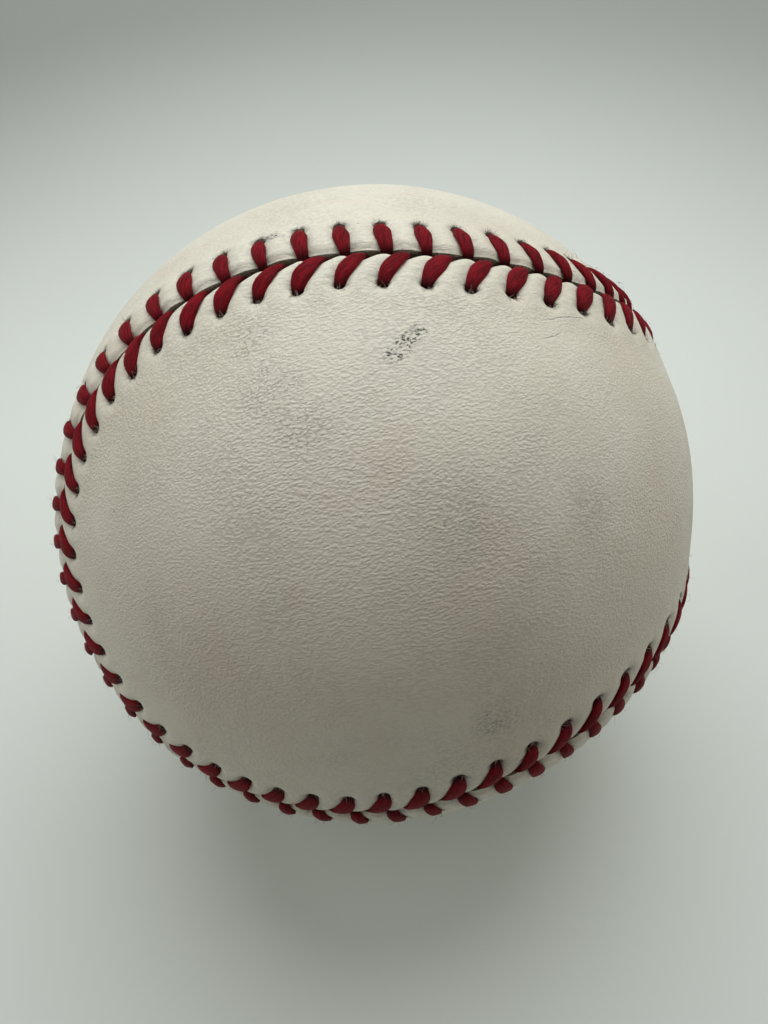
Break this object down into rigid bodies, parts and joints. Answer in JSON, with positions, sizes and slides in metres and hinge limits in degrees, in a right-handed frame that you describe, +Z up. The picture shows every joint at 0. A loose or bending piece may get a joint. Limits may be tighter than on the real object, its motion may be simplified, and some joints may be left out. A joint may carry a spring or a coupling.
{
  "type": "baseball",
  "caption": "Hand-stitched baseball: a cork and rubber pill, wound wool yarn, two figure-eight cowhide panels and a red laced seam.",
  "frame": {"origin": "centre of the ball", "axes": "X is the seam's polar axis: panel A has its waist at +X and panel B at -X. The four lobes are centred on the diagonals of the Y and Z axes, panel A's at -Y+Z and +Y-Z. +Z is up, and the lobe at -Y+Z faces the viewer."},
  "size_m": [0.0742, 0.0768, 0.0768],
  "materials": {
    "cork_composition": "granular cork and rubber composition, matt",
    "black_rubber": "moulded rubber, matt",
    "red_rubber": "moulded rubber, matt",
    "grey_blue_wool": "four-ply wool yarn, tightly wound",
    "white_wool": "three-ply wool yarn, tightly wound",
    "grey_wool": "three-ply wool yarn, tightly wound",
    "finishing_yarn": "fine poly-cotton yarn, tightly wound",
    "cowhide": "alum-tanned full-grain cowhide, off-white, satin, lightly scuffed",
    "red_thread": "waxed five-ply cotton thread, crimson, satin"
  },
  "bodies": {
    "root": {"cork_core": "cork_composition", "inner_rubber_upper": "black_rubber", "inner_rubber_lower": "black_rubber", "rubber_washer": "red_rubber", "outer_rubber_upper": "red_rubber", "outer_rubber_lower": "red_rubber", "first_winding": "grey_blue_wool", "second_winding": "white_wool", "third_winding": "grey_wool", "finishing_winding": "finishing_yarn", "cover_panel_a": "cowhide", "cover_panel_b": "cowhide", "seam_thread": "red_thread"}
  },
  "joints": []
}
